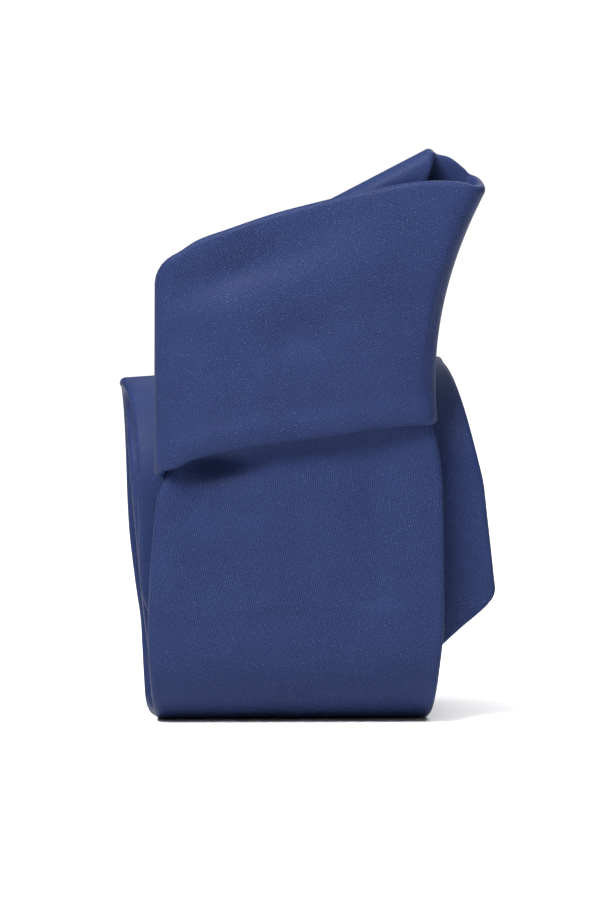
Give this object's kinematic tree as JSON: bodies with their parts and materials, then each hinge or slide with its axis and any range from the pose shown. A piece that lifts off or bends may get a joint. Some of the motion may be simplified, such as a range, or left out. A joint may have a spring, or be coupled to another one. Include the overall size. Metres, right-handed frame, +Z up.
{
  "type": "necktie",
  "caption": "Navy satin necktie, rolled flat and finished with a loose wrap, standing on its bottom fold.",
  "frame": {"origin": "under the middle of the standing tie, on the surface that it stands on", "axes": "+Z up, -Y towards the front of the wrap, +X to the right as seen from the front"},
  "size_m": [0.0838, 0.0652, 0.1303],
  "materials": {
    "silk": "satin weave, soft sheen",
    "lining": "plain weave, low sheen",
    "wool": "brushed, matte",
    "thread": "twisted thread, low sheen",
    "label": "close woven tape, blank"
  },
  "bodies": {
    "root": {"blade_shell": "silk", "neck_shell": "silk", "tail_shell": "silk", "blade_interlining": "wool", "tail_interlining": "wool", "blade_tipping": "lining", "tail_tipping": "lining", "keeper_loop": "silk", "maker_label_blank": "label", "care_label_blank": "label", "blade_bar_tack": "thread", "tail_bar_tack": "thread", "slip_stitch_thread": "thread", "blade_neck_seam": "thread", "tail_neck_seam": "thread"}
  },
  "joints": []
}
